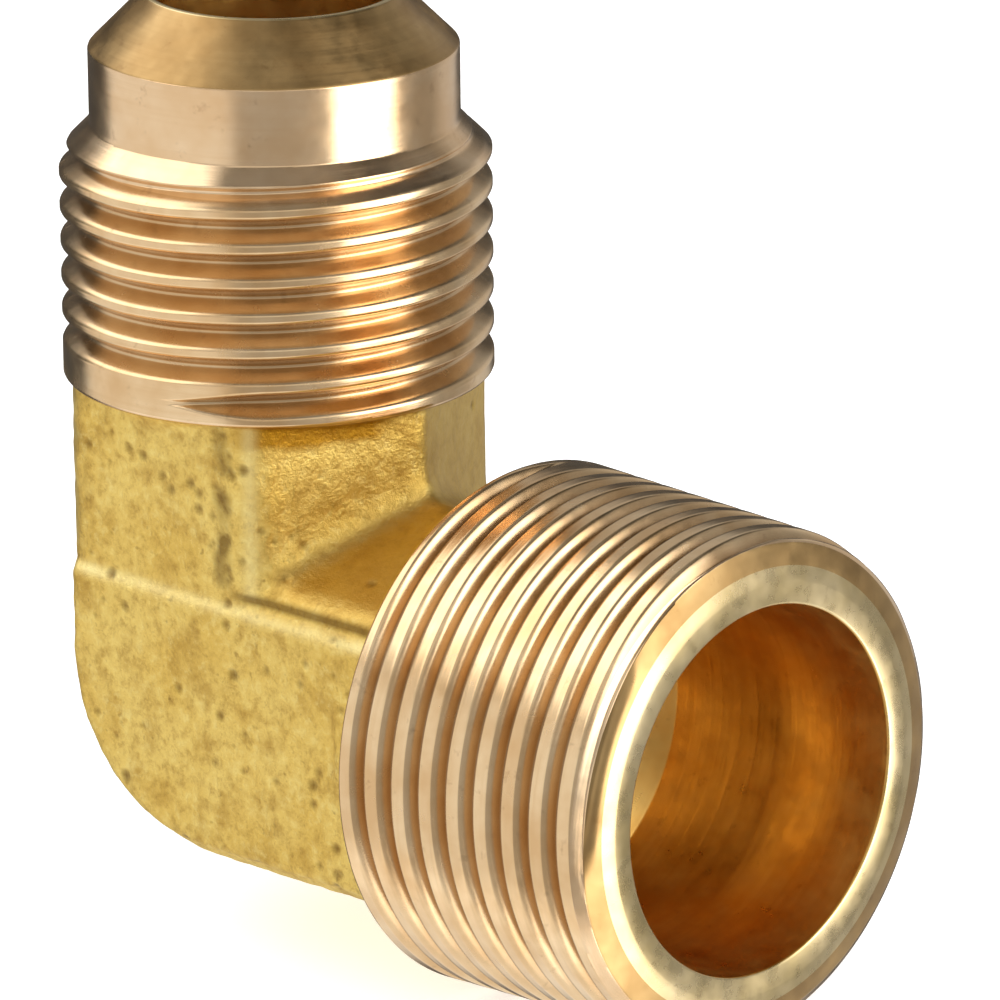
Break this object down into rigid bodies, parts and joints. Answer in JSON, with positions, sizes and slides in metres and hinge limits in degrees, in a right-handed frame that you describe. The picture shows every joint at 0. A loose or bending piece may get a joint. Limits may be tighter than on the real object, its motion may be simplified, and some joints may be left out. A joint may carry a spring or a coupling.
{
  "type": "flare fitting",
  "caption": "Forged brass 90 degree elbow: male 45 degree flare thread and seat at the top, male tapered pipe thread at the side.",
  "frame": {"origin": "where the axes of the two legs cross, the point from which centre-to-end sizes are measured", "axes": "+Z along the flare end's axis towards the seat; +X along the pipe end's axis towards its mouth"},
  "size_m": [0.0444, 0.027, 0.0488],
  "materials": {
    "brass_body": "sand-blasted forging skin on the body, turned and threaded brass at both ends"
  },
  "bodies": {
    "root": {"elbow_body": "brass_body"}
  },
  "joints": []
}
